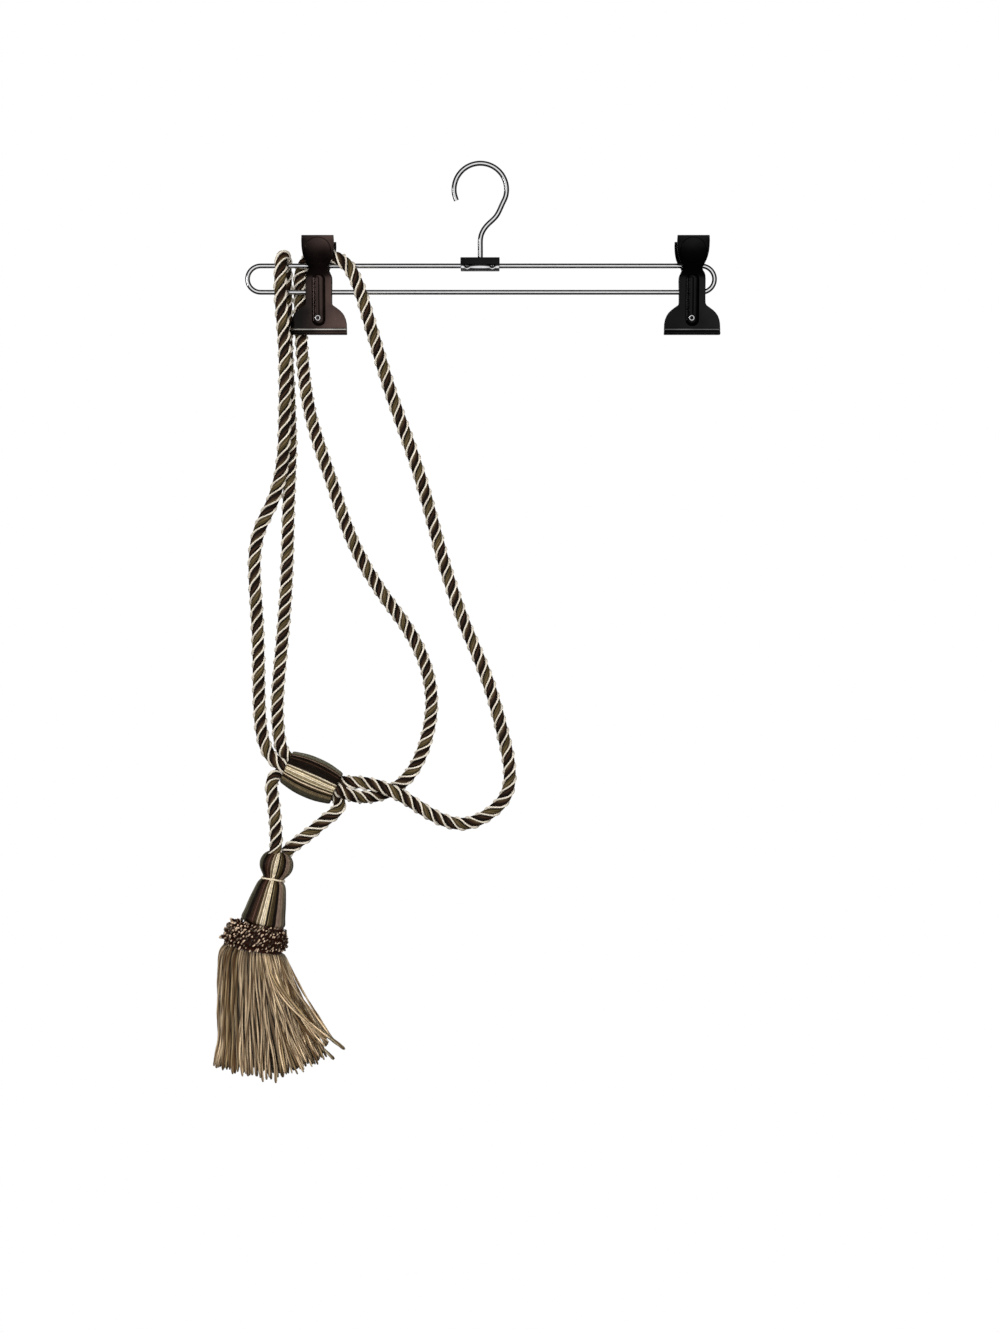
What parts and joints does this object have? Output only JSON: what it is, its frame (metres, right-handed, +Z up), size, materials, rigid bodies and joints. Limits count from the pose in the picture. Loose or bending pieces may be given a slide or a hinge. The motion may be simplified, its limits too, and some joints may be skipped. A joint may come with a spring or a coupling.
{
  "type": "curtain tieback tassel on a clip hanger",
  "caption": "Twisted cord curtain tieback in two loops, gathered by a covered barrel, with a ruffed tassel, hung over a wire clip hanger.",
  "frame": {"origin": "the inside of the hook's crown, where the hanger rests on a rail", "axes": "+Z up, +X along the hanger to the right as seen from the front, +Y to the back"},
  "size_m": [0.3659, 0.064, 0.6622],
  "materials": {
    "cord_yarn": "satin twisted yarn with cream gimp lines",
    "barrel_yarn": "satin yarn laid lengthwise in stripes",
    "head_yarn": "satin yarn laid lengthwise in stripes",
    "neck_thread": "satin thread",
    "ruff_yarn": "twisted loops in two colours",
    "skirt_yarn": "loose twisted strands",
    "chrome_wire": "bright plated wire",
    "dark_metal": "glossy black nickel",
    "spring_steel": "drawn spring wire"
  },
  "bodies": {
    "root": {"tieback_cord": "cord_yarn", "barrel": "barrel_yarn", "tassel_head": "head_yarn", "neck_thread": "neck_thread", "ruff": "ruff_yarn", "skirt": "skirt_yarn", "hanger_frame": "chrome_wire", "hook": "chrome_wire", "hook_collar": "dark_metal", "clip_left_front": "dark_metal", "clip_left_back": "dark_metal", "clip_left_spring": "spring_steel", "clip_right_front": "dark_metal", "clip_right_back": "dark_metal", "clip_right_spring": "spring_steel"}
  },
  "joints": []
}
